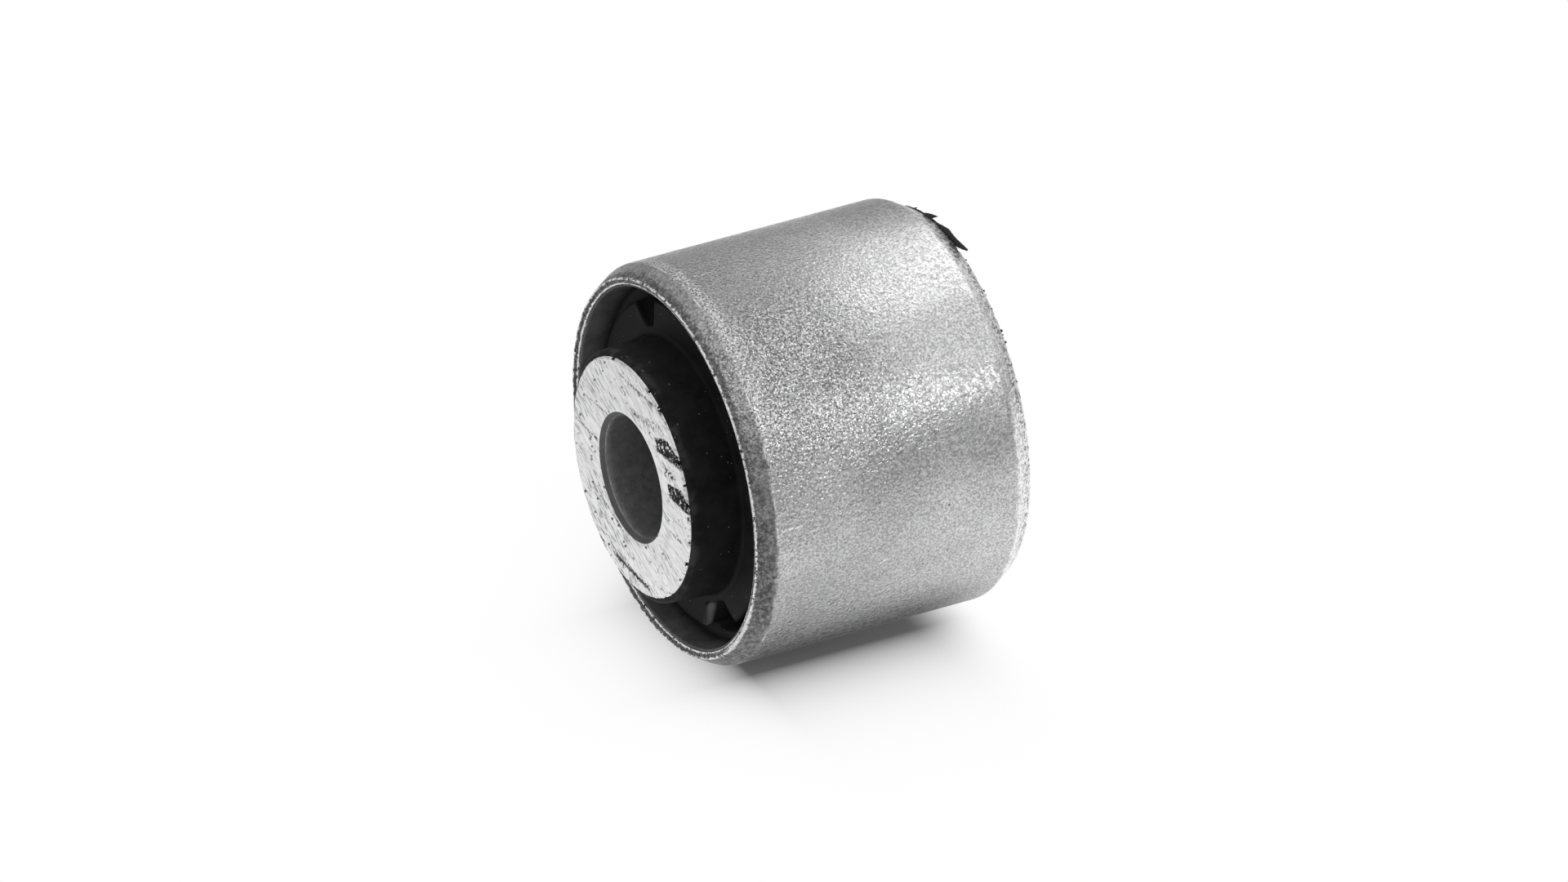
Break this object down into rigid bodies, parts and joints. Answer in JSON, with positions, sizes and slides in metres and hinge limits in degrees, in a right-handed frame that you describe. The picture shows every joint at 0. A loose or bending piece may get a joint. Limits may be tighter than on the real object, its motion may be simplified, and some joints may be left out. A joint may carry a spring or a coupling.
{
  "type": "rubber metal bush",
  "caption": "Bonded rubber metal bush: chamfered steel outer sleeve, black rubber with recessed ends, and a thick steel inner sleeve with a plain through bore for a bolt.",
  "frame": {"origin": "middle of the bore, halfway between the two end faces of the inner sleeve, which is the centre of the whole part; the middle of the outer sleeve lies 0.5 mm below it", "axes": "+Z along the bore axis, out of the end that has the two moulded pockets; +X through the upper pocket; the part stands on the other end face"},
  "size_m": [0.04, 0.04, 0.036],
  "materials": {
    "blasted_steel": "matt light grey, finely grained as after blasting, with darker chamfers and a worn bright rim",
    "black_rubber": "matt black moulded rubber with a little dust",
    "cut_steel": "bright cut end faces with straight tool marks and black rubber smears, dull grey bore"
  },
  "bodies": {
    "root": {"outer_sleeve": "blasted_steel", "rubber_body": "black_rubber", "inner_sleeve": "cut_steel"}
  },
  "joints": []
}
